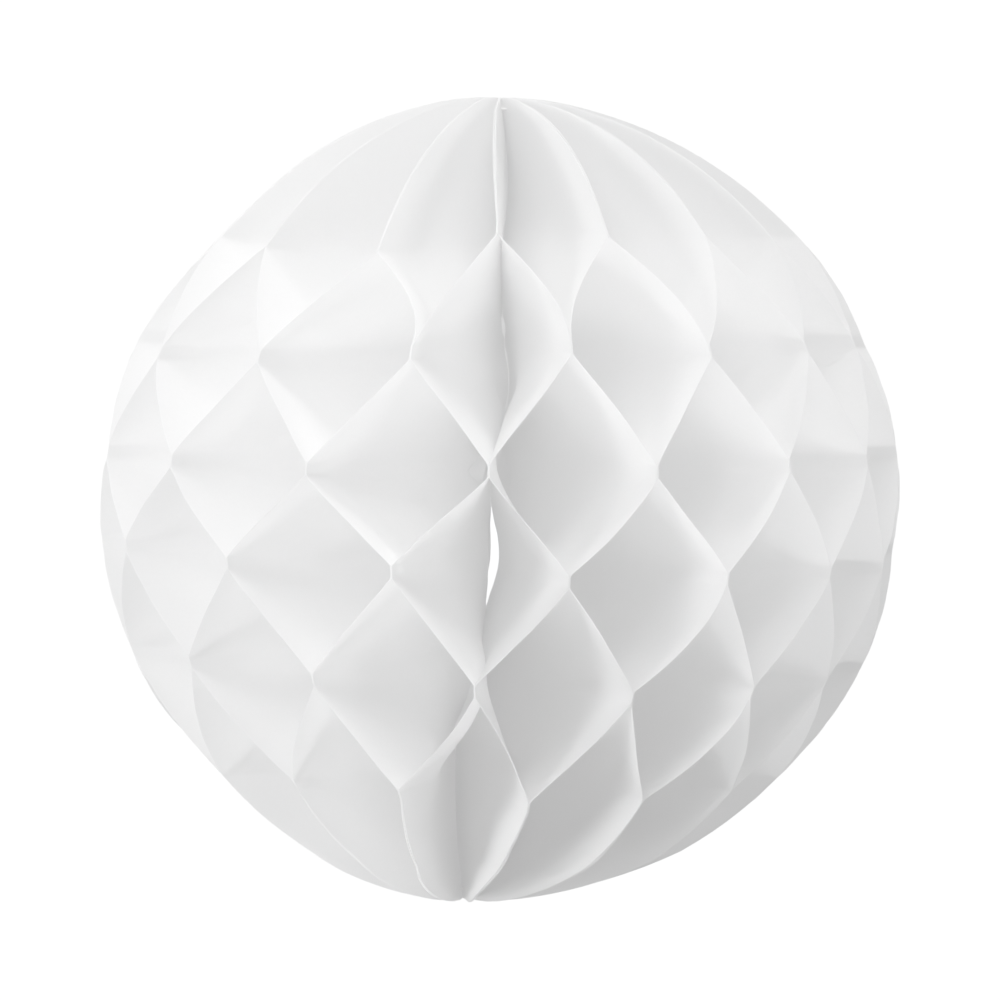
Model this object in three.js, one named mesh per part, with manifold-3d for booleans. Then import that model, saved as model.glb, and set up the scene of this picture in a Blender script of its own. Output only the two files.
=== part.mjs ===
// Honeycomb paper ball, 100 mm, opened out and ready to hang.
//
// Thirty-two half-disc leaves of white paper stand round one upright axis. Each
// leaf is glued to its left and right neighbours by turns, along six level glue
// lines, so that when the stack is fanned round through a full turn every leaf
// bends to and fro between its neighbours and the gaps open into diamond cells.
// A thread tie runs through the spine corners of all the leaves at each pole and
// keeps the spine ends together.
//
// Millimetres, +Z up along the spine, origin at the middle of the ball.
// Angles are measured round the spine from the front (-Y), positive towards +X.

import * as THREE from "three";
import { mergeVertices } from "three/addons/utils/BufferGeometryUtils.js";
import Module from "manifold-3d";

// ---------------------------------------------------------------- dimensions
const BALL_RADIUS = 50; // radius of the cut edge of every leaf
const LEAF_COUNT = 32;
const PAPER_THICKNESS = 0.08;
const GLUE_FILM = 0.04; // gap between two glued leaves
const GLUE_HALF_HEIGHT = 0.65; // half the height of a glue line
const CORE_RADIUS = 1.05; // the leaves stop this far from the spine line
const POLE_CORE = 0.86; // and this far from it near the poles
const POLE_STUB = 1.64; // width of a leaf at its very top and bottom

// Six glue lines by sixteen joints. Lines 1, 3 and 5 join leaves 1+2, 3+4, ...;
// lines 2, 4 and 6 join leaves 2+3, 4+5, ... The hand-opened cells differ a
// little in width, and where they are wider they are lower.
const JOINT_ANGLE = [
  [-1.3, 19.7, 41.1, 62.0, 83.0, 106.4, 129.1, 154.0, 177.0, 199.2, 219.5, 241.6, 264.2, 286.5, 311.8, 337.3],
  [10.3, 32.6, 53.4, 71.7, 95.3, 118.7, 141.9, 165.8, 188.8, 209.0, 229.0, 252.1, 274.3, 295.9, 321.4, 346.5],
  [-1.6, 21.7, 43.8, 63.7, 83.2, 106.8, 129.6, 153.7, 177.8, 198.8, 218.5, 239.7, 261.7, 282.5, 307.4, 332.7],
  [9.5, 32.8, 53.1, 71.2, 93.5, 116.3, 141.2, 167.0, 190.5, 210.6, 229.4, 250.7, 272.8, 294.2, 319.7, 345.4],
  [-3.3, 20.3, 41.5, 60.4, 80.6, 104.3, 128.6, 155.0, 181.4, 201.6, 220.4, 240.2, 261.5, 283.2, 307.6, 332.1],
  [6.1, 28.2, 50.1, 70.1, 92.2, 117.0, 140.2, 164.9, 188.3, 207.9, 228.9, 251.4, 272.4, 295.7, 320.6, 342.4],
];
const JOINT_HEIGHT = [
  [34.9, 34.7, 34.7, 34.5, 34.3, 34.4, 33.9, 33.6, 34.0, 33.8, 33.7, 34.3, 34.1, 33.3, 32.7, 32.4],
  [21.3, 20.8, 21.1, 21.1, 20.4, 20.1, 20.4, 20.3, 20.7, 20.5, 20.5, 20.7, 20.1, 18.7, 19.3, 20.3],
  [6.95, 6.95, 7.2, 7.0, 7.1, 6.7, 6.4, 6.5, 6.8, 6.7, 6.9, 6.6, 7.0, 6.1, 6.3, 6.5],
  [-5.8, -5.8, -6.0, -6.4, -5.5, -5.6, -5.9, -5.4, -5.8, -5.3, -5.7, -5.3, -5.3, -4.7, -5.1, -5.0],
  [-19.1, -19.9, -19.9, -20.0, -19.7, -19.3, -19.1, -19.6, -19.4, -19.7, -19.2, -19.4, -19.3, -18.7, -18.1, -18.6],
  [-34.0, -34.0, -33.8, -33.7, -33.3, -33.9, -33.8, -33.6, -33.8, -33.7, -33.5, -33.4, -33.5, -34.0, -32.6, -32.8],
];
// Sideways bow, in degrees, of each leaf in its five panels between glue lines.
const PANEL_BOW = [
  [-1.2, 0.2, 0.0, 0.0, 1.3], [2.6, -0.2, 0.0, 0.7, 0.2], [-2.5, 0.3, 1.0, 0.0, 0.8], [2.2, -0.7, 0.0, 1.8, -1.0],
  [0.8, 0.2, 0.5, -0.3, 2.6], [0.4, 0.2, 0.3, 0.5, -0.4], [0.6, -0.3, 0.2, 0.3, 0.8], [0.3, 0.4, -0.2, 0.4, 0.2],
  [-0.5, 0.2, 0.6, -0.3, 0.4], [0.9, -0.6, 0.3, 0.8, -0.5], [-1.0, 0.5, -0.2, 0.6, 1.0], [0.7, 0.1, 0.9, -0.8, 0.4],
  [-0.4, 0.8, -0.5, 0.2, -0.9], [1.1, -0.3, 0.4, 0.5, 0.7], [-0.8, 0.4, 0.1, -0.6, 0.9], [0.6, -0.9, 0.7, 0.3, -0.2],
  [-1.1, 0.3, 0.2, -0.2, 1.1], [1.0, -0.2, -0.3, 0.6, 0.3], [-0.7, 0.6, 0.8, -0.5, 0.5], [1.2, -0.5, 0.1, 0.9, -0.7],
  [-0.3, 0.7, -0.4, 0.4, 0.8], [0.8, 0.2, 0.6, -0.3, 0.1], [-0.9, -0.4, 0.3, 0.7, -0.6], [0.5, 0.9, -0.6, 0.2, 1.0],
  [-0.6, 0.1, 0.5, -0.7, 0.4], [1.0, -0.8, 0.2, 0.5, -0.3], [-0.2, 0.4, -0.3, 0.8, 0.6], [0.7, 0.3, 0.4, -0.4, 0.2],
  [-0.4, -0.2, 0.3, 0.3, 0.5], [0.3, 0.2, -0.2, 0.4, -0.3], [-0.6, 0.3, 0.2, 0.2, 0.3], [3.4, 0.0, 0.0, 0.3, 0.0],
];
// More bow of a panel deep inside than at its cut edge: leaf index, panel, degrees.
const DEEP_BOW = [[0, 4, 4.5], [1, 4, -0.8], [15, 2, 1.5], [16, 4, 2.0], [20, 1, -1.5], [26, 3, 1.5]];
const DEEP = 14; // the deep bow is full this far in from the cut edge
// Half the slit, in mm, that stands open between a joined pair midway from the
// first glue line to the top pole, and from the last one to the bottom pole, and
// how far the pair leans to the right there.
const TOP_SLIT = [0.05, 0.12, 0.15, 0.1, 0.2, 0.15, 0.3, 0.12, 0.2, 0.25, 0.1, 0.2, 0.15, 0.2, 0.1, 0.1];
const BOTTOM_SLIT = [0.1, 0.15, 0.2, 0.1, 0.2, 0.1, 0.25, 0.15, 0.2, 0.15, 0.3, 0.1, 0.2, 0.2, 0.15, 0.1];
const TOP_LEAN = [-0.85, 0.0, 0.0, 0.2, -0.2, 0.3, -0.3, 0.2, 0.4, -0.3, 0.2, -0.2, 0.3, 0.0, 0.0, 0.0];
const BOTTOM_LEAN = [-2.2, -0.8, 0.0, -0.2, 0.3, -0.2, 0.2, 0.3, -0.3, 0.2, 0.3, -0.3, 0.2, 0.0, -0.6, -1.9];
// The spine line is not quite straight: height, shift in x, shift in y.
const SPINE_BEND = [
  [50.4, -0.7, 0.2], [45, -0.1, 0.1], [38, 0.3, -0.1], [32, -0.3, -0.3], [26, -0.1, -0.1], [20, 0.3, 0.2],
  [14.5, 0.95, 0.1], [9, 0.1, 0.0], [3, -1.1, -0.2], [-1, -1.0, 0.0], [-7.5, -0.5, 0.1], [-12, -1.4, 0.2],
  [-17, -1.85, 0.3], [-20, -2.1, 0.2], [-24, -3.2, 0.1], [-29, -4.8, 0.1], [-35.5, -5.1, 0.2], [-43, -4.8, 0.3],
  [-50.4, -4.0, 0.1],
];
const SPINE_REACH = 26; // the shift has died away this far from the spine
// Shallow flats in the round: angle, latitude, share of the radius, spread (degrees).
const FLATS = [
  [-90, 42, -0.036, 13], [-90, -42, -0.028, 9], [90, -48, -0.017, 15], [90, 54, -0.007, 12],
  [0, 90, 0.008, 9], [0, -90, 0.008, 9],
];
// Where a leaf's spine edge is drawn back from the core: leaf index, middle
// height, half height and depth. A depth below zero brings it closer.
const CORE_SCALLOPS = [
  [0, 14.6, 5.0, 7.0], [1, 14.6, 5.0, 7.0], [31, 15.0, 9.0, -0.75], [2, 15.0, 9.0, -0.75],
  [0, 22.0, 1.8, 1.6], [1, 21.6, 1.8, 1.6],
  [0, -6.0, 7.0, 4.4], [1, -7.6, 7.8, 5.0], [31, -6.6, 7.2, 2.4], [2, -6.8, 7.2, 1.8],
  [15, -7.4, 7.6, 2.2], [16, -7.6, 8.4, 4.2], [17, -7.6, 8.4, 4.2], [18, -7.4, 7.6, 2.2],
  [29, -6.6, 7.0, 0.5], [30, -6.6, 7.0, 0.5], [14, -7.0, 7.0, 0.5], [19, -7.0, 7.0, 0.6],
  [20, -7.0, 7.0, 0.6],
  [28, 4.2, 3.0, 3.0], [29, 4.2, 3.0, 4.6], [30, 4.0, 3.2, 6.4], [31, 4.0, 3.2, 6.4], [2, 2.6, 5.2, 6.2], [3, 2.6, 5.2, 4.6],
  [5, -12.0, 4.0, 2.5], [10, 13.0, 4.0, 2.0], [13, -26.0, 4.5, 3.0],
  [20, 26.0, 4.0, 2.2], [23, -13.0, 4.0, 2.6], [27, 14.0, 4.0, 2.0],
];
// One leaf's spine edge stands across the core: leaf index, between which
// heights, and how far beyond the spine line it reaches.
const CORE_CURTAIN = { leaf: 8, heights: [[-2.4, 45], [-45, -13.0]], reach: -0.6 };
// The two leaves of the front cell come closer to the spine line than the others.
const TIGHT_LEAVES = [0, 1];
const TIGHT_CORE = 0.8;
const TIE_HEIGHT = 48.9; // height of the thread ties above and below the middle
const TIE_RADIUS = 2.0; // radius of the ring that the thread makes
const THREAD_DIAMETER = 0.36;
const TIE_HOLE_DIAMETER = 0.64; // needle holes in the leaves

const POLE_STEPS = 5; // level lines from a pole to the next glue line
const PANEL_LINES = 2; // level lines inside a panel
const ACROSS = [0, 0.2, 0.48, 1]; // shares of the way from the spine edge to the cut edge

const PAPER_COLOUR = 0xf5f5f5;
const THREAD_COLOUR = 0xeeeeec;

// ------------------------------------------------------------------- helpers
const rad = THREE.MathUtils.degToRad;
const wasm = await Module();
wasm.setup();

// Shift of the spine line at a height, as a smooth curve through SPINE_BEND.
function spineShift(z) {
  const p = SPINE_BEND;
  const last = p.length - 2;
  let i = 0;
  while (i < last && z < p[i + 1][0]) i++;
  const t = THREE.MathUtils.clamp((p[i][0] - z) / (p[i][0] - p[i + 1][0]), 0, 1);
  const at = (j) => p[THREE.MathUtils.clamp(j, 0, p.length - 1)];
  const blend = (c) => {
    const [a, b, d, e] = [at(i - 1)[c], at(i)[c], at(i + 1)[c], at(i + 2)[c]];
    return 0.5 * (2 * b + (d - a) * t + (2 * a - 5 * b + 4 * d - e) * t * t + (3 * b - a - 3 * d + e) * t * t * t);
  };
  return [blend(1), blend(2)];
}

// Share of the spine's shift at a distance from it: near the bottom pole it dies
// away evenly to the cut edge.
function spineFade(r, z) {
  const near = r < SPINE_REACH ? (1 - (r / SPINE_REACH) ** 2) ** 2 : 0;
  const even = THREE.MathUtils.clamp(1 - r / Math.max(Math.sqrt(Math.max(BALL_RADIUS ** 2 - z * z, 0)), SPINE_REACH), 0, 1);
  return near + (even - near) * THREE.MathUtils.smoothstep(-z, 30, 38);
}

function direction(angle, latitude) {
  return new THREE.Vector3(
    Math.cos(rad(latitude)) * Math.sin(rad(angle)),
    -Math.cos(rad(latitude)) * Math.cos(rad(angle)),
    Math.sin(rad(latitude)),
  );
}

// Radius of the ball in a direction, with its flats.
function ballRadius(angle, latitude) {
  const n = direction(angle, latitude);
  let f = 1;
  for (const [a, l, share, spread] of FLATS) {
    const away = THREE.MathUtils.radToDeg(n.angleTo(direction(a, l)));
    f += share * Math.exp(-0.5 * (away / spread) ** 2);
  }
  return BALL_RADIUS * f;
}

// Distance from the spine line at which the leaves stop, before any scallops.
function plainCore(leaf, z) {
  const calm = THREE.MathUtils.smoothstep(36 - Math.abs(z), 0, 5);
  return POLE_CORE + calm * (CORE_RADIUS - POLE_CORE + 0.1 * Math.sin(2.4 * leaf + 0.21 * z));
}

// Distance of a leaf's spine edge from the spine line at a height.
function coreRadius(leaf, z) {
  let r = TIGHT_LEAVES.includes(leaf) ? TIGHT_CORE : plainCore(leaf, z);
  for (const [i, mid, half, depth] of CORE_SCALLOPS) {
    const t = (z - mid) / half;
    if (i === leaf && Math.abs(t) < 1) r += depth * Math.cos((Math.PI / 2) * t) ** 2;
  }
  if (leaf === CORE_CURTAIN.leaf) {
    r -= 0.1;
    for (const [low, high] of CORE_CURTAIN.heights) {
      r += (CORE_CURTAIN.reach - r) * THREE.MathUtils.smoothstep(Math.min(z - low, high - z), 0, 2.5);
    }
  }
  return r;
}

// The joint that a leaf meets on a glue line, and the side of it that it is on.
function jointOf(leaf, line) {
  const odd = leaf % 2 === 1;
  const column = line % 2 === 0 ? Math.floor(leaf / 2) : odd ? (leaf - 1) / 2 : (leaf / 2 + 15) % 16;
  const side = (line % 2 === 0) === odd ? 1 : -1;
  let angle = JOINT_ANGLE[line][column];
  const near = JOINT_ANGLE[2][Math.floor(leaf / 2)];
  while (angle - near > 180) angle -= 360;
  while (angle - near < -180) angle += 360;
  return { angle, z: JOINT_HEIGHT[line][column], side, column };
}

// The level lines across a leaf, from the top pole to the bottom one: angle,
// bow at the cut edge and deep inside, height, sideways offset, extra offset of
// an open slit and outer radius.
function levelLines(leaf) {
  const joints = [0, 1, 2, 3, 4, 5].map((k) => jointOf(leaf, k));
  const offset = (PAPER_THICKNESS + GLUE_FILM) / 2;
  const lines = [];
  const level = (angle, bow, deep, z, o) => {
    let r = Math.sqrt(BALL_RADIUS ** 2 - z * z);
    const R = ballRadius(angle + bow, THREE.MathUtils.radToDeg(Math.atan2(z, r)));
    r = Math.sqrt(R * R - z * z);
    lines.push({ angle, bow, deep, z, o, slit: 0, r });
  };
  const polar = (joint, psi, open, lean, t) => {
    const R = ballRadius(joint.angle, 90 - THREE.MathUtils.radToDeg(psi));
    const slit = (joint.side * open[joint.column] + lean[joint.column]) * Math.sin(Math.PI * t);
    const o = joint.side * offset;
    lines.push({ angle: joint.angle, bow: 0, deep: 0, z: R * Math.cos(psi), o, slit, r: R * Math.sin(psi) });
  };
  const stub = Math.asin((POLE_CORE + POLE_STUB) / BALL_RADIUS);

  const topEnd = Math.acos((joints[0].z + GLUE_HALF_HEIGHT) / BALL_RADIUS);
  for (let j = 0; j < POLE_STEPS; j++) {
    const t = j / POLE_STEPS;
    polar(joints[0], stub + (topEnd - stub) * t, TOP_SLIT, TOP_LEAN, t);
  }
  joints.forEach((a, k) => {
    level(a.angle, 0, 0, a.z + GLUE_HALF_HEIGHT, a.side * offset);
    level(a.angle, 0, 0, a.z - GLUE_HALF_HEIGHT, a.side * offset);
    const b = joints[k + 1];
    if (!b) return;
    const [top, foot] = [a.z - GLUE_HALF_HEIGHT, b.z + GLUE_HALF_HEIGHT];
    const extra = DEEP_BOW.filter(([i, panel]) => i === leaf && panel === k).reduce((sum, row) => sum + row[2], 0);
    for (let j = 1; j <= PANEL_LINES; j++) {
      const u = j / (PANEL_LINES + 1);
      const free = 4 * u * (1 - u);
      const o = (a.side + (b.side - a.side) * u) * offset;
      level(a.angle + (b.angle - a.angle) * u, PANEL_BOW[leaf][k] * free, extra * free * free, top + (foot - top) * u, o);
    }
  });
  const footStart = Math.acos((joints[5].z - GLUE_HALF_HEIGHT) / BALL_RADIUS);
  for (let j = 1; j <= POLE_STEPS; j++) {
    const t = j / POLE_STEPS;
    polar(joints[5], footStart + (Math.PI - stub - footStart) * t, BOTTOM_SLIT, BOTTOM_LEAN, t);
  }
  return lines;
}

// A flat sheet, one quad deep, bent to the leaf's level lines.
function leafSheet(leaf) {
  const lines = levelLines(leaf);
  // a leaf that stands closer to the core has one more line, where the others stop
  const closer = leaf === CORE_CURTAIN.leaf || TIGHT_LEAVES.includes(leaf);
  const shares = closer ? [-1, ...ACROSS] : ACROSS;
  const sheet = new THREE.BoxGeometry(1, 1, 1, shares.length - 1, lines.length - 1, 1);
  // the same diagonal on both faces, so that the sheet keeps its thickness
  const back = sheet.groups[5];
  for (let i = back.start; i < back.start + back.count; i += 6) {
    const [a, b, d, , c] = Array.from(sheet.index.array.slice(i, i + 6));
    sheet.index.array.set([a, b, c, a, c, d], i);
  }
  const p = sheet.getAttribute("position");
  for (let i = 0; i < p.count; i++) {
    const line = lines[Math.round((0.5 - p.getY(i)) * (lines.length - 1))];
    const k = Math.round((p.getX(i) + 0.5) * (shares.length - 1));
    const plain = plainCore(leaf, line.z);
    const inner = coreRadius(leaf, line.z);
    let r = k === 0 ? inner : plain + (line.r - plain) * shares[k];
    if (closer && k === 1) r = Math.max(r, inner + 0.1);
    // the leaves stand too close to bow at the core
    const loose = THREE.MathUtils.clamp((r - CORE_RADIUS) / 6, 0, 1);
    const angle = line.angle + loose * (line.bow + line.deep * THREE.MathUtils.smoothstep(line.r - r, 0, DEEP));
    const open = THREE.MathUtils.clamp((r - POLE_CORE) / (line.z > 0 ? 10 : line.r - POLE_CORE), 0, 1);
    const o = line.o + line.slit * open - Math.sign(p.getZ(i)) * (PAPER_THICKNESS / 2);
    const [sin, cos] = [Math.sin(rad(angle)), Math.cos(rad(angle))];
    const fade = spineFade(r, line.z);
    const [dx, dy] = spineShift(line.z);
    p.setXYZ(i, r * sin + o * cos + fade * dx, -r * cos + o * sin + fade * dy, line.z);
  }
  return sheet;
}

// A ring of round section about the spine line at one of the ties.
function tieRing(z, thick, sides, steps) {
  const [dx, dy] = spineShift(z);
  return new THREE.TorusGeometry(TIE_RADIUS, thick / 2, sides, steps).translate(dx, dy, z);
}

function solid(geometry) {
  const g = geometry.clone();
  g.deleteAttribute("normal");
  g.deleteAttribute("uv");
  const merged = mergeVertices(g, 1e-4);
  return new wasm.Manifold(
    new wasm.Mesh({
      numProp: 3,
      vertProperties: new Float32Array(merged.getAttribute("position").array),
      triVerts: new Uint32Array(merged.index.array),
    }),
  );
}

function fromSolid(made) {
  const m = made.getMesh();
  const xyz = new Float32Array(m.numVert * 3);
  for (let i = 0; i < m.numVert; i++) xyz.set(m.vertProperties.subarray(i * m.numProp, i * m.numProp + 3), i * 3);
  const g = new THREE.BufferGeometry();
  g.setAttribute("position", new THREE.BufferAttribute(xyz, 3));
  g.setIndex(new THREE.BufferAttribute(new Uint32Array(m.triVerts), 1));
  g.computeVertexNormals();
  return g;
}

// -------------------------------------------------------------------- pieces
const ball = new THREE.Group();
ball.name = "honeycomb_paper_ball";

const needleHoles = [TIE_HEIGHT, -TIE_HEIGHT].map((z) => solid(tieRing(z, TIE_HOLE_DIAMETER, 6, 48)));

for (let leaf = 0; leaf < LEAF_COUNT; leaf++) {
  const cut = needleHoles.reduce((sheet, hole) => sheet.subtract(hole), solid(leafSheet(leaf)));
  const mesh = new THREE.Mesh(
    fromSolid(cut),
    new THREE.MeshStandardMaterial({ color: PAPER_COLOUR, roughness: 0.92, metalness: 0, side: THREE.DoubleSide }),
  );
  mesh.name = "paper_leaf_" + String(leaf + 1).padStart(2, "0");
  ball.add(mesh);
}

for (const [name, z] of [["top_thread_tie", TIE_HEIGHT], ["bottom_thread_tie", -TIE_HEIGHT]]) {
  const mesh = new THREE.Mesh(
    tieRing(z, THREAD_DIAMETER, 6, 36),
    new THREE.MeshStandardMaterial({ color: THREAD_COLOUR, roughness: 0.85, metalness: 0 }),
  );
  mesh.name = name;
  ball.add(mesh);
}

export default ball;
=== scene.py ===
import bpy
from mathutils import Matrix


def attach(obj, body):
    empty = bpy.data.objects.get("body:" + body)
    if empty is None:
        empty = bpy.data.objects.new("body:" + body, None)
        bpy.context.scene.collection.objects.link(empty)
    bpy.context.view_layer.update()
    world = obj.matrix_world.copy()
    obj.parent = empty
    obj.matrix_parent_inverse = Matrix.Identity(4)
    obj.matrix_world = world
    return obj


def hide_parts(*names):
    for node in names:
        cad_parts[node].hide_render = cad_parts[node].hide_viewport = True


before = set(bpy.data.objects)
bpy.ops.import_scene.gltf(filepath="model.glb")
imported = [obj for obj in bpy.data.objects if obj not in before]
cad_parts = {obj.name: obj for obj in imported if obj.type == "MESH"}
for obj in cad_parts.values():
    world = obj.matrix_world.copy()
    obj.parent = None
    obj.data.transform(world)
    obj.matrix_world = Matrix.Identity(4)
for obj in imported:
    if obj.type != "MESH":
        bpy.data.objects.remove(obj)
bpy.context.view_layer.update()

import math

import bpy
import numpy as np
from mathutils import Matrix, Vector

# Honeycomb paper ball. The shape is worked out in millimetres, in the frame of
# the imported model: +Z up along the spine, -Y to the front, origin in the middle.
# Angles go round the spine from the front, positive towards +X.

BALL_RADIUS = 50.0
LEAF_COUNT = 32
PAPER_THICKNESS = 0.08
GLUE_FILM = 0.04
GLUE_HALF = 0.65
CORE_RADIUS = 1.05
POLE_CORE = 0.86
POLE_STUB = 1.64
SHEET_OFFSET = (PAPER_THICKNESS + GLUE_FILM) / 2

# Six glue lines by sixteen joints. Lines 1, 3 and 5 join leaves 1+2, 3+4, ...;
# lines 2, 4 and 6 join leaves 2+3, 4+5, ...
JOINT_ANGLE = [
    [-1.3, 19.7, 41.1, 62.0, 83.0, 106.4, 129.1, 154.0, 177.0, 199.2, 219.5, 241.6, 264.2, 286.5, 311.8, 337.3],
    [10.3, 32.6, 53.4, 71.7, 95.3, 118.7, 141.9, 165.8, 188.8, 209.0, 229.0, 252.1, 274.3, 295.9, 321.4, 346.5],
    [-1.6, 21.7, 43.8, 63.7, 83.2, 106.8, 129.6, 153.7, 177.8, 198.8, 218.5, 239.7, 261.7, 282.5, 307.4, 332.7],
    [9.5, 32.8, 53.1, 71.2, 93.5, 116.3, 141.2, 167.0, 190.5, 210.6, 229.4, 250.7, 272.8, 294.2, 319.7, 345.4],
    [-3.3, 20.3, 41.5, 60.4, 80.6, 104.3, 128.6, 155.0, 181.4, 201.6, 220.4, 240.2, 261.5, 283.2, 307.6, 332.1],
    [6.1, 28.2, 50.1, 70.1, 92.2, 117.0, 140.2, 164.9, 188.3, 207.9, 228.9, 251.4, 272.4, 295.7, 320.6, 342.4],
]
JOINT_HEIGHT = [
    [34.9, 34.7, 34.7, 34.5, 34.3, 34.4, 33.9, 33.6, 34.0, 33.8, 33.7, 34.3, 34.1, 33.3, 32.7, 32.4],
    [21.3, 20.8, 21.1, 21.1, 20.4, 20.1, 20.4, 20.3, 20.7, 20.5, 20.5, 20.7, 20.1, 18.7, 19.3, 20.3],
    [6.95, 6.95, 7.2, 7.0, 7.1, 6.7, 6.4, 6.5, 6.8, 6.7, 6.9, 6.6, 7.0, 6.1, 6.3, 6.5],
    [-5.8, -5.8, -6.0, -6.4, -5.5, -5.6, -5.9, -5.4, -5.8, -5.3, -5.7, -5.3, -5.3, -4.7, -5.1, -5.0],
    [-19.1, -19.9, -19.9, -20.0, -19.7, -19.3, -19.1, -19.6, -19.4, -19.7, -19.2, -19.4, -19.3, -18.7, -18.1, -18.6],
    [-34.0, -34.0, -33.8, -33.7, -33.3, -33.9, -33.8, -33.6, -33.8, -33.7, -33.5, -33.4, -33.5, -34.0, -32.6, -32.8],
]
PANEL_BOW = [
    [-1.2, 0.2, 0.0, 0.0, 1.3], [2.6, -0.2, 0.0, 0.7, 0.2], [-2.5, 0.3, 1.0, 0.0, 0.8], [2.2, -0.7, 0.0, 1.8, -1.0],
    [0.8, 0.2, 0.5, -0.3, 2.6], [0.4, 0.2, 0.3, 0.5, -0.4], [0.6, -0.3, 0.2, 0.3, 0.8], [0.3, 0.4, -0.2, 0.4, 0.2],
    [-0.5, 0.2, 0.6, -0.3, 0.4], [0.9, -0.6, 0.3, 0.8, -0.5], [-1.0, 0.5, -0.2, 0.6, 1.0], [0.7, 0.1, 0.9, -0.8, 0.4],
    [-0.4, 0.8, -0.5, 0.2, -0.9], [1.1, -0.3, 0.4, 0.5, 0.7], [-0.8, 0.4, 0.1, -0.6, 0.9], [0.6, -0.9, 0.7, 0.3, -0.2],
    [-1.1, 0.3, 0.2, -0.2, 1.1], [1.0, -0.2, -0.3, 0.6, 0.3], [-0.7, 0.6, 0.8, -0.5, 0.5], [1.2, -0.5, 0.1, 0.9, -0.7],
    [-0.3, 0.7, -0.4, 0.4, 0.8], [0.8, 0.2, 0.6, -0.3, 0.1], [-0.9, -0.4, 0.3, 0.7, -0.6], [0.5, 0.9, -0.6, 0.2, 1.0],
    [-0.6, 0.1, 0.5, -0.7, 0.4], [1.0, -0.8, 0.2, 0.5, -0.3], [-0.2, 0.4, -0.3, 0.8, 0.6], [0.7, 0.3, 0.4, -0.4, 0.2],
    [-0.4, -0.2, 0.3, 0.3, 0.5], [0.3, 0.2, -0.2, 0.4, -0.3], [-0.6, 0.3, 0.2, 0.2, 0.3], [3.4, 0.0, 0.0, 0.3, 0.0],
]
# Half the slit between a joined pair midway to the top and bottom poles, and how
# far the pair leans to the right there, in mm.
TOP_SLIT = [0.05, 0.12, 0.15, 0.1, 0.2, 0.15, 0.3, 0.12, 0.2, 0.25, 0.1, 0.2, 0.15, 0.2, 0.1, 0.1]
BOTTOM_SLIT = [0.1, 0.15, 0.2, 0.1, 0.2, 0.1, 0.25, 0.15, 0.2, 0.15, 0.3, 0.1, 0.2, 0.2, 0.15, 0.1]
TOP_LEAN = [-0.85, 0.0, 0.0, 0.2, -0.2, 0.3, -0.3, 0.2, 0.4, -0.3, 0.2, -0.2, 0.3, 0.0, 0.0, 0.0]
BOTTOM_LEAN = [-2.2, -0.8, 0.0, -0.2, 0.3, -0.2, 0.2, 0.3, -0.3, 0.2, 0.3, -0.3, 0.2, 0.0, -0.6, -1.9]
SPINE_BEND = np.array([
    [50.4, -0.7, 0.2], [45, -0.1, 0.1], [38, 0.3, -0.1], [32, -0.3, -0.3], [26, -0.1, -0.1], [20, 0.3, 0.2],
    [14.5, 0.95, 0.1], [9, 0.1, 0.0], [3, -1.1, -0.2], [-1, -1.0, 0.0], [-7.5, -0.5, 0.1], [-12, -1.4, 0.2],
    [-17, -1.85, 0.3], [-20, -2.1, 0.2], [-24, -3.2, 0.1], [-29, -4.8, 0.1], [-35.5, -5.1, 0.2], [-43, -4.8, 0.3],
    [-50.4, -4.0, 0.1],
])
SPINE_REACH = 26.0
# More bow of a panel deep inside than at its cut edge, in degrees: leaf, panel, bow.
DEEP_BOW = [(0, 4, 4.5), (1, 4, -0.8), (15, 2, 1.5), (16, 4, 2.0), (20, 1, -1.5), (26, 3, 1.5)]
FLATS = [
    (-90, 42, -0.036, 13), (-90, -42, -0.028, 9), (90, -48, -0.017, 15), (90, 54, -0.007, 12),
    (0, 90, 0.008, 9), (0, -90, 0.008, 9),
]
# Where a leaf's spine edge is drawn back from the core: leaf, middle height,
# half height, depth and the sideways bulge of the edge there. A depth below
# zero brings it closer.
CORE_SCALLOPS = [
    (0, 14.6, 5.0, 7.0, -0.45), (1, 14.6, 5.0, 7.0, 0.45), (31, 15.0, 9.0, -0.75, 0.05), (2, 15.0, 9.0, -0.75, -0.05),
    (0, 22.0, 1.8, 1.6, -0.1), (1, 21.6, 1.8, 1.6, 0.1),
    (0, -6.0, 7.0, 4.4, -0.1), (1, -7.6, 7.8, 5.0, 0.2), (31, -6.6, 7.2, 2.4, 0.0), (2, -6.8, 7.2, 1.8, 0.0),
    (15, -7.4, 7.6, 2.2, 0.0), (16, -7.6, 8.4, 4.2, 0.0), (17, -7.6, 8.4, 4.2, 0.0), (18, -7.4, 7.6, 2.2, 0.0),
    (29, -6.6, 7.0, 0.5, 0.0), (30, -6.6, 7.0, 0.5, 0.0), (14, -7.0, 7.0, 0.5, 0.0), (19, -7.0, 7.0, 0.6, 0.0),
    (20, -7.0, 7.0, 0.6, 0.0),
    (29, 4.2, 3.0, 4.6, 0.0), (28, 4.2, 3.0, 3.0, 0.0), (30, 4.0, 3.2, 6.4, 0.0), (31, 4.0, 3.2, 6.4, 0.0), (2, 2.6, 5.2, 6.2, 0.0), (3, 2.6, 5.2, 4.6, 0.0),
    (5, -12.0, 4.0, 2.5, 0.2), (10, 13.0, 4.0, 2.0, -0.2), (13, -26.0, 4.5, 3.0, 0.2),
    (20, 26.0, 4.0, 2.2, 0.2), (23, -13.0, 4.0, 2.6, -0.2), (27, 14.0, 4.0, 2.0, 0.2),
]
# The leaf whose spine edge stands across the core: heights between which it does.
CORE_CURTAIN = (8, ((-2.4, 45.0), (-45.0, -13.0)), -0.6)
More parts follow.
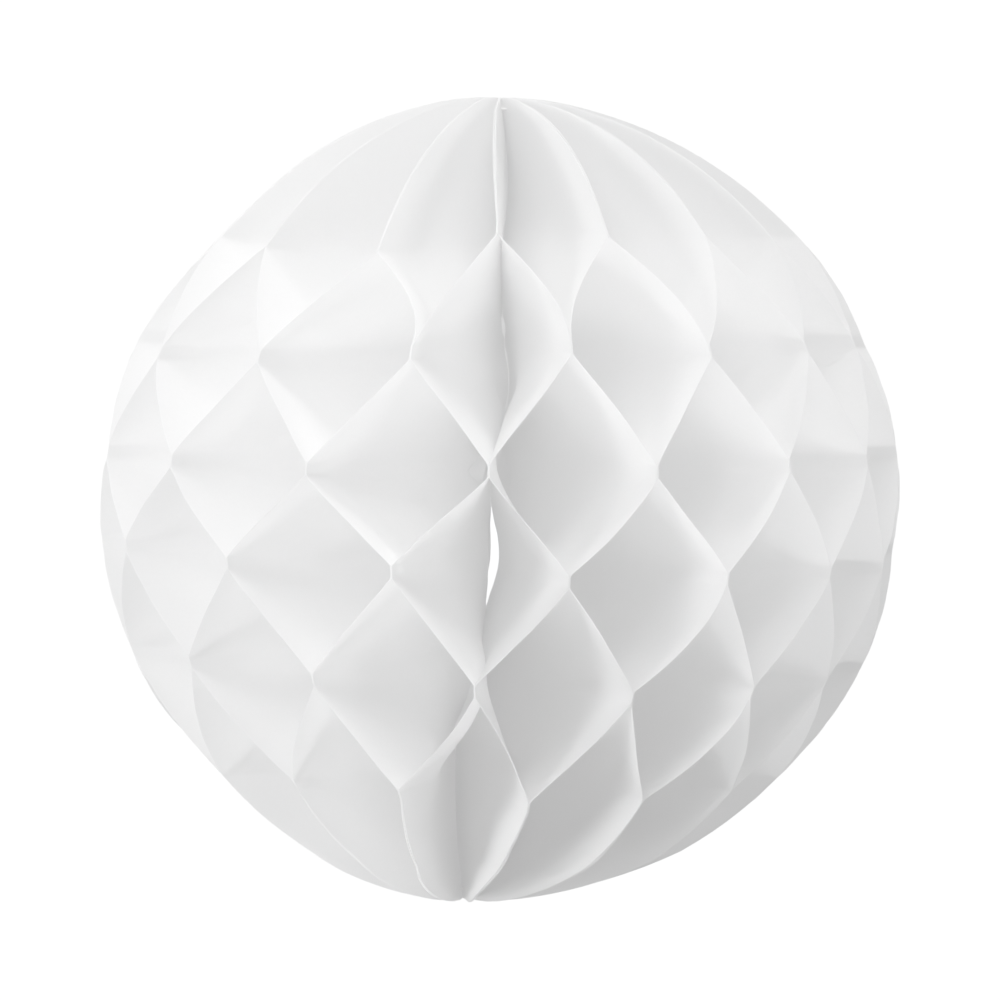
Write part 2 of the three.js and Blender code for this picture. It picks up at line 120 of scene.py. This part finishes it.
# The two leaves of the front cell come closer to the spine line than the others.
TIGHT_CORE = {0: 0.66, 1: 0.22}
TIE_HEIGHT = 48.9
TIE_RADIUS = 2.0
THREAD_DIAMETER = 0.36
HOLE_RADIUS = 0.32
MM = 0.001


# ------------------------------------------------------------------ leaf shape
def spine_shift(z):
    """Sideways shift of the spine line at heights z."""
    p = SPINE_BEND
    last = len(p) - 2
    i = np.clip(sum((z < p[k, 0]).astype(int) for k in range(1, last + 1)), 0, last)
    t = np.clip((p[i, 0] - z) / (p[i, 0] - p[i + 1, 0]), 0, 1)[..., None]
    a, b = p[np.clip(i - 1, 0, len(p) - 1), 1:], p[i, 1:]
    d, e = p[i + 1, 1:], p[np.clip(i + 2, 0, len(p) - 1), 1:]
    return 0.5 * (2 * b + (d - a) * t + (2 * a - 5 * b + 4 * d - e) * t**2 + (3 * b - a - 3 * d + e) * t**3)


def spine_fade(r, z):
    """Share of the spine's shift at a distance from it: near the bottom pole it dies away evenly to the cut edge."""
    near = (1 - (np.minimum(r, SPINE_REACH) / SPINE_REACH) ** 2) ** 2
    even = np.clip(1 - r / np.maximum(np.sqrt(np.maximum(BALL_RADIUS**2 - z * z, 0)), SPINE_REACH), 0, 1)
    low = np.clip((-30 - z) / 8, 0, 1)
    return near + (even - near) * low * low * (3 - 2 * low)


def direction(angle, latitude):
    a, l = np.radians(angle), np.radians(latitude)
    return np.stack([np.cos(l) * np.sin(a), -np.cos(l) * np.cos(a), np.sin(l) + 0 * a], -1)


def ball_radius(angle, latitude):
    n = direction(angle, latitude)
    f = np.ones(n.shape[:-1])
    for a, l, share, spread in FLATS:
        away = np.degrees(np.arccos(np.clip(n @ direction(np.float64(a), np.float64(l)), -1, 1)))
        f += share * np.exp(-0.5 * (away / spread) ** 2)
    return BALL_RADIUS * f


def hump(t):
    return np.where(np.abs(t) < 1, np.cos(np.pi / 2 * np.clip(t, -1, 1)) ** 2, 0)


def core_radius(leaf, z):
    calm = np.clip((36 - np.abs(z)) / 5, 0, 1)
    calm = calm * calm * (3 - 2 * calm)
    r = POLE_CORE + calm * (CORE_RADIUS - POLE_CORE + 0.1 * np.sin(2.4 * leaf + 0.21 * z))
    if leaf in TIGHT_CORE:
        r = np.full(z.shape, TIGHT_CORE[leaf])
    for i, mid, half, depth, _ in CORE_SCALLOPS:
        if i == leaf:
            r = r + depth * hump((z - mid) / half)
    if leaf == CORE_CURTAIN[0]:
        for low, high in CORE_CURTAIN[1]:
            across = np.clip(np.minimum(z - low, high - z) / 2.5, 0, 1)
            r = r + (CORE_CURTAIN[2] - r) * across * across * (3 - 2 * across)
    return r


def core_bulge(leaf, z):
    """Sideways push of a leaf's spine edge at its scallops."""
    out = np.zeros(z.shape)
    for i, mid, half, _, push in CORE_SCALLOPS:
        if i == leaf:
            out = out + push * hump((z - mid) / half)
    return out


def joint_of(leaf, line):
    """Angle, height, side and column of the joint that a leaf meets on a glue line."""
    odd = leaf % 2 == 1
    if line % 2 == 0:
        column = leaf // 2
    else:
        column = (leaf - 1) // 2 if odd else (leaf // 2 + 15) % 16
    side = 1 if (line % 2 == 0) == odd else -1
    angle, near = JOINT_ANGLE[line][column], JOINT_ANGLE[2][leaf // 2]
    while angle - near > 180:
        angle -= 360
    while angle - near < -180:
        angle += 360
    return angle, JOINT_HEIGHT[line][column], side, column


class Leaf:
    """One leaf: where its sheet stands at each height."""

    def __init__(self, leaf):
        self.leaf = leaf
        self.joints = [joint_of(leaf, k) for k in range(6)]
        rng = np.random.default_rng(4100 + leaf)
        # slow unevenness of the sheet: a few waves along and across it
        self.waves = [
            (rng.uniform(0.12, 0.42), rng.uniform(-0.22, 0.22), rng.uniform(0, 2 * np.pi), a)
            for a in (0.09, 0.07, 0.05, 0.04)
        ]
        self.nicks = [(rng.uniform(0.5, 1.6), rng.uniform(0, 2 * np.pi), a) for a in (0.03, 0.02, 0.02)]

    def bend(self, z, round_off, curl, loose, glue_half):
        """Angle and sideways offset of the sheet at heights z, and how far z is into a panel (0 on the glue lines).
        round_off is 0 for flat panels and 1 for panels that leave the glue lines in a smooth curve; curl is the share
        of a panel over which the fold at each glue line is rounded; loose is 0 at the core, where the leaves stand
        too close to bow; glue_half is half the height of the glue."""
        angle = np.full(z.shape, self.joints[0][0])
        offset = np.full(z.shape, self.joints[0][2] * SHEET_OFFSET)
        free = np.zeros(z.shape)
        for k in range(5):
            a, b = self.joints[k], self.joints[k + 1]
            top, foot = a[1] - glue_half, b[1] + glue_half
            t = (top - z) / (top - foot)
            u = np.clip(t, 0, 1)
            inside = t > 0
            free_k = 4 * u * (1 - u)
            u = u + round_off * (u * u * (3 - 2 * u) - u)
            v = np.minimum(u, 1 - u)
            v = np.where(v < curl, v * v / (2 * curl), v - curl / 2) / (1 - curl)
            u = np.where(u < 0.5, v, 1 - v)
            # the bow leaves the glue lines as softly as the fold, so a sheet never crosses the one it is glued to
            deep = sum(bow for leaf, panel, bow in DEEP_BOW if (leaf, panel) == (self.leaf, k))
            bow = loose * (PANEL_BOW[self.leaf][k] * 4 * u * (1 - u) + deep * round_off * free_k * free_k)
            angle = np.where(inside, a[0] + (b[0] - a[0]) * u + bow, angle)
            offset = np.where(inside, (a[2] + (b[2] - a[2]) * u) * SHEET_OFFSET, offset)
            free = np.where(inside, free_k, free)
        return angle, offset, free

    def rows(self):
        """Heights of the rows of the mesh from the top pole to the bottom one."""
        stub = math.asin((POLE_CORE + POLE_STUB) / BALL_RADIUS)
        made = []
        for sign, joint in ((1, self.joints[0]), (-1, self.joints[5])):
            end = math.acos(abs(joint[1] + sign * GLUE_HALF) / BALL_RADIUS)
            t = np.linspace(0, 1, 17)[:-1]
            psi = stub + (end - stub) * t
            R = ball_radius(np.full(psi.shape, joint[0]), sign * (90 - np.degrees(psi)))
            z = sign * R * np.cos(psi)
            hole = sign * TIE_HEIGHT + np.array([HOLE_RADIUS, 0, -HOLE_RADIUS])
            keep = np.min(np.abs(z[:, None] - hole[None]), 1) > 0.25
            made += list(z[keep]) + list(hole)
        for a in self.joints:
            made += [a[1] + d for d in (GLUE_HALF, 0.38, 0.14, 0, -0.14, -0.38, -GLUE_HALF)]
        for a, b in zip(self.joints, self.joints[1:]):
            top, foot = a[1] - GLUE_HALF, b[1] + GLUE_HALF
            made += [top - 0.22, top - 0.55, foot + 0.22, foot + 0.55]
            made += list(np.linspace(top - 1.1, foot + 1.1, 12))
        return np.array(sorted(made, reverse=True))

    def slit(self, z, r_out):
        """How far the pair stands open and leans towards the top and the bottom pole."""
        out = []
        stub = math.asin((POLE_CORE + POLE_STUB) / BALL_RADIUS)
        for sign, joint, table, lean in (
            (1, self.joints[0], TOP_SLIT, TOP_LEAN), (-1, self.joints[5], BOTTOM_SLIT, BOTTOM_LEAN)
        ):
            end = math.acos(abs(joint[1] + sign * GLUE_HALF) / BALL_RADIUS)
            psi = np.arctan2(r_out, sign * z)
            t = np.clip((psi - stub) / (end - stub), 0, 1)
            out.append((joint[2] * table[joint[3]] + lean[joint[3]]) * np.sin(np.pi * t) * (sign * z > 0))
        return out

    def grid(self):
        """Rows by columns of (r, z) on the sheet."""
        z = self.rows()
        angle, _, _ = self.bend(z, 0, 0.015, 1, GLUE_HALF)
        flat = np.sqrt(np.maximum(BALL_RADIUS**2 - z * z, 6.25))
        R = ball_radius(angle, np.degrees(np.arctan2(z, flat)))
        r_out = np.sqrt(np.maximum(R * R - z * z, (POLE_CORE + POLE_STUB) ** 2))
        for wave, phase, size in self.nicks:
            r_out = r_out + size * np.sin(wave * z + phase) * np.clip((48 - np.abs(z)) / 4, 0, 1)
        inner = core_radius(self.leaf, z)
        span = r_out - inner
        near = np.array([0, 0.82, 1.14, 1.46, 3.2, 5.8]) + np.array([0, 1, 1, 1, 0.5, 0.2]) * (POLE_CORE - inner[0])
        near = near[None] * np.minimum(1, span / 9)[:, None]
        s = np.linspace(0, 1, 23)[1:] ** 0.94
        far = near[:, -1:] + (span[:, None] - near[:, -1:]) * s[None]
        r = inner[:, None] + np.hstack([near, far])
        zz = np.repeat(z[:, None], r.shape[1], 1)
        holes = []
        for sign in (1, -1):
            i = int(np.argmin(np.abs(z - sign * TIE_HEIGHT)))
            holes.append(i)
            k = HOLE_RADIUS * (1 - math.sqrt(0.5))
            for di, dz in ((-1, -k), (1, k)):
                zz[i + di, 1] += dz
                zz[i + di, 3] += dz
                r[i + di, 1] += k
                r[i + di, 3] -= k
        return r, zz, r_out, holes

    def sheet(self):
        """Corner points of both faces of the sheet, in mm, and the holes' rows."""
        r, z, r_out, holes = self.grid()
        width = 0.13
        # the folds at the glue lines are crisp at the cut edge and rounder inside
        curl = np.clip((r_out[:, None] - r) / 8, 0, 1)
        curl = 0.015 + 0.15 * curl * curl * (3 - 2 * curl)
        soft = np.clip((r_out[:, None] - r) / 14, 0, 1)
        soft = 0.05 + 0.25 * soft * soft * (3 - 2 * soft)
        # the glue took hold over less height inside than at the pressed cut edge
        held = np.clip((r_out[:, None] - r) / 9, 0, 1)
        held = GLUE_HALF - (GLUE_HALF - 0.03) * held * held * (3 - 2 * held)
        angle, offset, free = np.zeros(r.shape), np.zeros(r.shape), np.zeros(r.shape)
        for step, weight in ((-1, 1), (-0.5, 2), (0, 3), (0.5, 2), (1, 1)):
            a, o, f = self.bend(z + step * width, soft, curl, np.clip((r - CORE_RADIUS) / 6, 0, 1), held)
            angle, offset, free = angle + a * weight / 9, offset + o * weight / 9, free + f * weight / 9
        top, bottom = self.slit(z[:, 0], r_out)
        offset = offset + top[:, None] * np.clip((r - POLE_CORE) / 10, 0, 1)
        offset = offset + bottom[:, None] * np.clip((r - POLE_CORE) / (r_out[:, None] - POLE_CORE), 0, 1)
        offset = offset + core_bulge(self.leaf, z) * free * free * np.exp(-(((r - r[:, :1]) / 7) ** 2))
        loose = free * free * np.clip(r / 45, 0, 1)
        for wz, wr, phase, size in self.waves:
            offset = offset + loose * size * np.sin(wz * z + wr * r + phase)
        a = np.radians(angle)
        shift = spine_shift(z) * spine_fade(r, z)[..., None]
        faces = []
        for half in (-PAPER_THICKNESS / 2, PAPER_THICKNESS / 2):
            o = offset + half
            faces.append(np.stack([
                r * np.sin(a) + o * np.cos(a) + shift[..., 0],
                -r * np.cos(a) + o * np.sin(a) + shift[..., 1],
                z,
            ], -1))
        glue = 1 - np.clip(free / 0.30, 0, 1)
        return faces, holes, glue


def build_leaf(number, material):
    leaf = Leaf(number)
    (low, high), holes, glue = leaf.sheet()
    rows, cols = low.shape[:2]
    index = np.arange(rows * cols).reshape(rows, cols)
    quads = np.stack([index[:-1, :-1], index[:-1, 1:], index[1:, 1:], index[1:, :-1]], -1)
    keep = np.ones(quads.shape[:2], bool)
    for i in holes:
        keep[i - 1:i + 1, 1:3] = False
    quads = quads[keep]
    n = rows * cols
    edges = np.concatenate([np.stack([quads[:, k], quads[:, (k + 1) % 4]], -1) for k in range(4)])
    forward = edges[:, 0] * n + edges[:, 1]
    backward = edges[:, 1] * n + edges[:, 0]
    rim = edges[~np.isin(forward, backward)]
    faces = np.concatenate([
        quads + n,  # the face towards the next leaf round
        quads[:, ::-1],
        np.stack([rim[:, 1] + n, rim[:, 0] + n, rim[:, 0], rim[:, 1]], -1),
    ])
    points = np.concatenate([low.reshape(-1, 3), high.reshape(-1, 3)]) * MM
    used = np.zeros(2 * n, bool)
    used[faces.ravel()] = True
    renumber = np.cumsum(used) - 1
    mesh = bpy.data.meshes.new(f"leaf_{number + 1:02d}")
    mesh.from_pydata(points[used].tolist(), [], renumber[faces].tolist())
    smooth = np.ones(len(faces), bool)
    smooth[2 * len(quads):] = False
    mesh.polygons.foreach_set("use_smooth", smooth)
    mesh.update()
    # the cut edges stay crisp
    ends = np.empty(len(mesh.edges) * 2, np.int64)
    mesh.edges.foreach_get("vertices", ends)
    ends = np.sort(ends.reshape(-1, 2), 1)
    rims = np.concatenate([rim, rim + n])
    rims = np.sort(renumber[rims], 1)
    total = int(used.sum())
    sharp = np.isin(ends[:, 0] * total + ends[:, 1], rims[:, 0] * total + rims[:, 1])
    mesh.edges.foreach_set("use_edge_sharp", sharp)
    # how near each point is to a glue line, and which faces are cut edges
    layer = mesh.attributes.new("glue_line", "FLOAT", "POINT")
    layer.data.foreach_set("value", np.concatenate([glue.ravel()] * 2)[used].astype(np.float32))
    layer = mesh.attributes.new("cut_edge", "FLOAT", "FACE")
    layer.data.foreach_set("value", (~smooth).astype(np.float32))
    mesh.materials.append(material)
    piece = bpy.data.objects.new(f"leaf_{number + 1:02d}_sheet", mesh)
    bpy.context.scene.collection.objects.link(piece)
    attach(piece, "root")
    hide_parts(f"paper_leaf_{number + 1:02d}")
    return piece


def build_tie(name, node, height, material):
    """A closed turn of three-ply thread."""
    steps, sides, plies, turns = 288, 18, 3, 26
    shift = spine_shift(np.array([height]))[0] * spine_fade(TIE_RADIUS, np.array([height]))[0]
    points = []
    for i in range(steps):
        u = 2 * math.pi * i / steps
        for j in range(sides):
            v = 2 * math.pi * j / sides
            lobe = abs(math.cos(0.5 * plies * v + 0.5 * turns * plies * u / plies * 3))
            w = THREAD_DIAMETER / 2 * (0.78 + 0.22 * lobe)
            ring = TIE_RADIUS + w * math.cos(v)
            points.append((
                (ring * math.cos(u) + shift[0]) * MM,
                (ring * math.sin(u) + shift[1]) * MM,
                (height + w * math.sin(v)) * MM,
            ))
    faces = []
    for i in range(steps):
        for j in range(sides):
            a, b = i * sides, (i + 1) % steps * sides
            k = (j + 1) % sides
            faces.append((a + j, b + j, b + k, a + k))
    mesh = bpy.data.meshes.new(name)
    mesh.from_pydata(points, [], faces)
    mesh.polygons.foreach_set("use_smooth", [True] * len(faces))
    mesh.update()
    mesh.materials.append(material)
    piece = bpy.data.objects.new(name, mesh)
    bpy.context.scene.collection.objects.link(piece)
    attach(piece, "root")
    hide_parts(node)
    return piece


# ------------------------------------------------------------------- materials
def node(tree, kind, **values):
    made = tree.nodes.new(kind)
    for key, value in values.items():
        if key in made.inputs:
            made.inputs[key].default_value = value
        else:
            setattr(made, key, value)
    return made


def ramp(tree, stops):
    made = tree.nodes.new("ShaderNodeValToRGB")
    while len(made.color_ramp.elements) < len(stops):
        made.color_ramp.elements.new(0.5)
    for element, (place, colour) in zip(made.color_ramp.elements, stops):
        element.position = place
        element.color = (*colour, 1)
    return made


def paper_material():
    """White uncoated paper: cloudy fibre formation, a little light through it, faint glue lines, and painted shade on
    the cut edges.
    """
    mat = bpy.data.materials.new("white_paper")
    mat.use_nodes = True
    tree = mat.node_tree
    tree.nodes.clear()
    link = tree.links.new
    place = tree.nodes.new("ShaderNodeTexCoord")

    # formation: soft clouds of fibre about 1 mm across
    clouds = node(tree, "ShaderNodeTexNoise", Scale=900.0, Detail=3.0, Roughness=0.62)
    link(place.outputs["Object"], clouds.inputs["Vector"])
    # single fibres: thin curled streaks
    fibres = node(tree, "ShaderNodeTexNoise", Scale=2600.0, Detail=2.0, Roughness=0.7)
    link(place.outputs["Object"], fibres.inputs["Vector"])
    # slow unevenness from sheet to sheet and across the ball
    patches = node(tree, "ShaderNodeTexNoise", Scale=70.0, Detail=0.0)
    link(place.outputs["Object"], patches.inputs["Vector"])

    tone = ramp(tree, [(0.30, (0.977, 0.977, 0.977)), (0.70, (1.0, 1.0, 1.0))])
    link(clouds.outputs["Fac"], tone.inputs["Fac"])
    streak = ramp(tree, [(0.42, (0.985, 0.985, 0.985)), (0.58, (1.0, 1.0, 1.0))])
    link(fibres.outputs["Fac"], streak.inputs["Fac"])
    slow = ramp(tree, [(0.35, (0.988, 0.988, 0.988)), (0.65, (1.0, 1.0, 1.0))])
    link(patches.outputs["Fac"], slow.inputs["Fac"])
    glue = node(tree, "ShaderNodeAttribute", attribute_name="glue_line")
    damp = ramp(tree, [(0.0, (1.0, 1.0, 1.0)), (1.0, (0.985, 0.985, 0.985))])
    link(glue.outputs["Fac"], damp.inputs["Fac"])
    # painted shade: the cut edges are coloured greyer so they show less of the light that falls on them
    rim = node(tree, "ShaderNodeAttribute", attribute_name="cut_edge")
    painted_rim_shade = ramp(tree, [(0.0, (1.0, 1.0, 1.0)), (1.0, (0.95, 0.95, 0.95))])
    link(rim.outputs["Fac"], painted_rim_shade.inputs["Fac"])

    colour = tone.outputs["Color"]
    for other in (streak, slow, damp, painted_rim_shade):
        mix = node(tree, "ShaderNodeMix", data_type="RGBA", blend_type="MULTIPLY")
        mix.inputs[0].default_value = 1.0
        link(colour, mix.inputs[6])
        link(other.outputs["Color"], mix.inputs[7])
        colour = mix.outputs[2]

    rough = node(tree, "ShaderNodeMapRange")
    rough.inputs["To Min"].default_value = 0.78
    rough.inputs["To Max"].default_value = 0.95
    link(clouds.outputs["Fac"], rough.inputs["Value"])

    bump = node(tree, "ShaderNodeBump", Strength=0.22, Distance=0.00004)
    link(fibres.outputs["Fac"], bump.inputs["Height"])

    body = node(tree, "ShaderNodeBsdfPrincipled")
    body.inputs["Specular IOR Level"].default_value = 0.25
    link(colour, body.inputs["Base Color"])
    link(rough.outputs["Result"], body.inputs["Roughness"])
    link(bump.outputs["Normal"], body.inputs["Normal"])
    through = node(tree, "ShaderNodeBsdfTranslucent")
    link(colour, through.inputs["Color"])
    link(bump.outputs["Normal"], through.inputs["Normal"])
    both = tree.nodes.new("ShaderNodeMixShader")
    both.inputs["Fac"].default_value = 0.66
    link(body.outputs["BSDF"], both.inputs[1])
    link(through.outputs["BSDF"], both.inputs[2])
    out = tree.nodes.new("ShaderNodeOutputMaterial")
    link(both.outputs["Shader"], out.inputs["Surface"])
    return mat


def thread_material():
    """White cotton thread: fine fibres along the twist, soft sheen."""
    mat = bpy.data.materials.new("cotton_thread")
    mat.use_nodes = True
    tree = mat.node_tree
    tree.nodes.clear()
    link = tree.links.new
    place = tree.nodes.new("ShaderNodeTexCoord")
    fibres = node(tree, "ShaderNodeTexNoise", Scale=9000.0, Detail=4.0, Roughness=0.7, Distortion=1.5)
    link(place.outputs["Object"], fibres.inputs["Vector"])
    tone = ramp(tree, [(0.3, (0.80, 0.80, 0.79)), (0.7, (0.93, 0.93, 0.92))])
    link(fibres.outputs["Fac"], tone.inputs["Fac"])
    bump = node(tree, "ShaderNodeBump", Strength=0.4, Distance=0.00003)
    link(fibres.outputs["Fac"], bump.inputs["Height"])
    rough = node(tree, "ShaderNodeMapRange")
    rough.inputs["To Min"].default_value = 0.7
    rough.inputs["To Max"].default_value = 0.95
    link(fibres.outputs["Fac"], rough.inputs["Value"])
    body = node(tree, "ShaderNodeBsdfPrincipled")
    body.inputs["Sheen Weight"].default_value = 0.25
    link(tone.outputs["Color"], body.inputs["Base Color"])
    link(rough.outputs["Result"], body.inputs["Roughness"])
    link(bump.outputs["Normal"], body.inputs["Normal"])
    out = tree.nodes.new("ShaderNodeOutputMaterial")
    link(body.outputs["BSDF"], out.inputs["Surface"])
    return mat


def stage_material():
    """Pale studio sweep, lit evenly to white."""
    mat = bpy.data.materials.new("studio_sweep")
    mat.use_nodes = True
    tree = mat.node_tree
    tree.nodes.clear()
    link = tree.links.new
    place = tree.nodes.new("ShaderNodeTexCoord")
    grain = node(tree, "ShaderNodeTexNoise", Scale=3.0, Detail=3.0)
    link(place.outputs["Object"], grain.inputs["Vector"])
    tone = ramp(tree, [(0.3, (0.985, 0.985, 0.985)), (0.7, (1.0, 1.0, 1.0))])
    link(grain.outputs["Fac"], tone.inputs["Fac"])
    body = node(tree, "ShaderNodeEmission", Strength=1.05)
    link(tone.outputs["Color"], body.inputs["Color"])
    out = tree.nodes.new("ShaderNodeOutputMaterial")
    link(body.outputs["Emission"], out.inputs["Surface"])
    return mat


# ---------------------------------------------------------- camera, stage, light
CAMERA_DISTANCE = 0.65
CAMERA_ELEVATION = math.radians(4.24)
CAMERA_ROLL = math.radians(0.83)


def build_camera():
    e, roll = CAMERA_ELEVATION, CAMERA_ROLL
    back = Vector((0, -math.cos(e), math.sin(e)))
    right, up = Vector((1, 0, 0)), Vector((0, math.sin(e), math.cos(e)))
    x = right * math.cos(roll) + up * math.sin(roll)
    y = -right * math.sin(roll) + up * math.cos(roll)
    data = bpy.data.cameras.new("camera")
    data.sensor_width = 36
    data.lens = 186.645
    data.clip_start, data.clip_end = 0.01, 50
    cam = bpy.data.objects.new("camera", data)
    cam.matrix_world = Matrix((
        (x.x, y.x, back.x, back.x * CAMERA_DISTANCE),
        (x.y, y.y, back.y, back.y * CAMERA_DISTANCE),
        (x.z, y.z, back.z, back.z * CAMERA_DISTANCE),
        (0, 0, 0, 1),
    ))
    bpy.context.scene.collection.objects.link(cam)
    bpy.context.scene.camera = cam


def build_stage():
    """A floor far below the hanging ball that sweeps up into a wall behind it."""
    low, depth, bend, high = -1.0, 2.6, 1.2, 4.0
    profile = [(-4.0, low), (-2.0, low), (0.0, low)]
    for k in range(13):
        a = math.pi / 2 * k / 12
        profile.append((depth - bend + bend * math.sin(a), low + bend - bend * math.cos(a)))
    profile.append((depth, high))
    points, faces = [], []
    xs = (-5.0, -2.0, 0.0, 2.0, 5.0)
    for y, z in profile:
        points += [(x, y, z) for x in xs]
    for i in range(len(profile) - 1):
        for j in range(len(xs) - 1):
            a = i * len(xs) + j
            faces.append((a, a + 1, a + 1 + len(xs), a + len(xs)))
    mesh = bpy.data.meshes.new("sweep")
    mesh.from_pydata(points, [], faces)
    mesh.polygons.foreach_set("use_smooth", [True] * len(faces))
    mesh.update()
    mesh.materials.append(stage_material())
    sweep = bpy.data.objects.new("sweep", mesh)
    sweep.visible_diffuse = False
    sweep.visible_glossy = False
    sweep.visible_transmission = False
    sweep.visible_shadow = False
    bpy.context.scene.collection.objects.link(sweep)


def soft_box(name, azimuth, elevation, power):
    """A round soft box, 0.8 m across, 2 m from the ball and facing it."""
    a, e = math.radians(azimuth), math.radians(elevation)
    back = Vector((math.sin(a) * math.cos(e), -math.cos(a) * math.cos(e), math.sin(e)))
    data = bpy.data.lights.new(name, "AREA")
    data.shape = "DISK"
    data.size = 0.8
    data.energy = power
    lamp = bpy.data.objects.new(name, data)
    lamp.location = back * 2.0
    lamp.rotation_mode = "QUATERNION"
    lamp.rotation_quaternion = (-back).to_track_quat("-Z", "Y")
    lamp.visible_camera = False
    bpy.context.scene.collection.objects.link(lamp)
    return lamp


def build_light():
    """A light tent: brightest on the left and above, with the veil of white that it throws over the picture."""
    world = bpy.data.worlds.new("studio")
    world.use_nodes = True
    world.node_tree.nodes["Background"].inputs["Color"].default_value = (1, 1, 1, 1)
    world.node_tree.nodes["Background"].inputs["Strength"].default_value = 0.0
    bpy.context.scene.world = world
    for name, azimuth, elevation, power in (
        ("left_low", -100, -25, 12.3),
        ("left", -100, 5, 17.6),
        ("left_front", -50, 5, 19.7),
        ("right", 100, 5, 5.0),
        ("right_back", 140, 5, 3.4),
        ("front_top", -20, 35, 9.8),
        ("right_top", 100, 35, 14.0),
        ("high", 20, 62, 7.2),
        ("top", 0, 88, 16.4),
    ):
        soft_box(name, azimuth, elevation, power)
    view = bpy.context.scene.view_settings
    view.view_transform = "Standard"
    view.look = "None"
    view.use_curve_mapping = True
    view.gamma = 2.5
    view.curve_mapping.black_level = (-0.125, -0.125, -0.125)
    view.curve_mapping.update()


scene = bpy.context.scene
scene.cycles.max_bounces = 40
scene.cycles.diffuse_bounces = 28
scene.cycles.transmission_bounces = 36
scene.cycles.adaptive_threshold = 0.3
scene.cycles.use_light_tree = False
scene.cycles.use_denoising = True

build_camera()
build_stage()
build_light()
paper = paper_material()
for number in range(LEAF_COUNT):
    build_leaf(number, paper)
thread = thread_material()
build_tie("top_thread", "top_thread_tie", TIE_HEIGHT, thread)
build_tie("bottom_thread", "bottom_thread_tie", -TIE_HEIGHT, thread)
